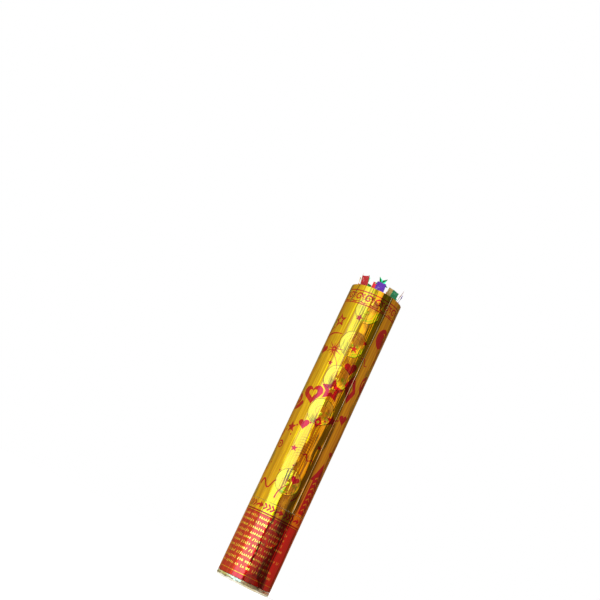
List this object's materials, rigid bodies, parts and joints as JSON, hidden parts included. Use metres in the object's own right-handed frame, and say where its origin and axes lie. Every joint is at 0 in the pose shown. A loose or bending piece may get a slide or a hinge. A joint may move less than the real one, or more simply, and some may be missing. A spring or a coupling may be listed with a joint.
{
  "type": "confetti party popper",
  "caption": "Hand-held twist-fired confetti popper: foil-wrapped board tube with a turning base, air bottle, screw-lift release valve, pusher wad and a load of tissue slips, foil stars and curls.",
  "frame": {"origin": "centre of the flat ring that the popper stands on, on the tube's axis", "axes": "+Z along the tube's axis from the base to the muzzle; -Y is the printed front"},
  "size_m": [0.0488, 0.0488, 0.2958],
  "materials": {
    "gold_foil": "metallised gold foil label with crimson print, gloss",
    "red_foil": "metallised foil label printed red and gold, gloss",
    "silver_foil": "crinkled silver foil laminate",
    "grey_board": "spiral-wound grey board",
    "white_board": "pressed white board",
    "waxed_paper": "waxed",
    "bottle_plastic": "natural blow-moulded",
    "nylon": "natural moulded",
    "rubber": "black nitrile",
    "brass": "turned",
    "steel": "zinc plated",
    "felt": "grey wool felt",
    "load_paper": "loose bed of mixed tissue slips",
    "tissue_purple": "tissue",
    "tissue_green": "tissue",
    "tissue_magenta": "tissue",
    "tissue_red": "tissue",
    "tissue_cream": "tissue",
    "tissue_crimson": "tissue",
    "foil_red": "metallised film",
    "foil_blue": "metallised film",
    "foil_gold": "metallised film",
    "foil_green": "metallised film"
  },
  "bodies": {
    "base": {"rim_foil": "silver_foil", "base_cap": "white_board", "base_tube": "grey_board", "base_wrap": "red_foil", "slip_washer": "waxed_paper", "lock_ring": "nylon", "air_bottle": "bottle_plastic", "bottle_collar": "grey_board", "fill_valve_body": "brass", "fill_valve_nut": "brass", "fill_valve_seal": "rubber", "fill_valve_spring": "steel", "fill_valve_clip": "steel"},
    "fill_pin": {"fill_valve_pin": "brass"},
    "barrel": {"barrel_tube": "grey_board", "barrel_wrap": "gold_foil", "coupler_sleeve": "white_board", "key_ring": "nylon", "bulkhead": "grey_board"},
    "release": {"release_carrier": "nylon", "valve_stopper": "nylon", "stopper_seal": "rubber", "stopper_screw": "steel"},
    "charge": {"pusher_card": "grey_board", "pusher_felt": "felt", "confetti_bed": "load_paper", "slip_purple_1": "tissue_purple", "slip_purple_2": "tissue_purple", "slip_green_1": "tissue_green", "slip_green_2": "tissue_green", "slip_magenta_1": "tissue_magenta", "slip_magenta_2": "tissue_magenta", "slip_red_1": "tissue_red", "slip_red_2": "tissue_red", "slip_cream_1": "tissue_cream", "slip_cream_2": "tissue_cream", "slip_crimson_1": "tissue_crimson", "star_red": "foil_red", "star_blue": "foil_blue", "star_gold": "foil_gold", "star_green": "foil_green", "streamer_red": "foil_red", "streamer_green": "foil_green"}
  },
  "joints": [
    {"name": "barrel_twist", "type": "hinge", "parent": "base", "child": "barrel", "pos_m": [0, 0, 0.0715], "axis": [0, 0, 1], "range_deg": [0, 90]},
    {"name": "valve_lift", "type": "slide", "parent": "barrel", "child": "release", "axis": [0, 0, 1], "range_m": [0, 0.006]},
    {"name": "charge_slide", "type": "slide", "parent": "barrel", "child": "charge", "axis": [0, 0, 1], "range_m": [0, 0.173]},
    {"name": "fill_pin_press", "type": "slide", "parent": "base", "child": "fill_pin", "axis": [0, 0, 1], "range_m": [0, 0.0015], "stiffness_N_per_m": 300, "springref_m": -0.001, "deforming": ["fill_valve_spring"]}
  ],
  "couplings": [
    {"joint": "valve_lift", "follows": "barrel_twist", "m_per_rad": 0.0038197}
  ]
}
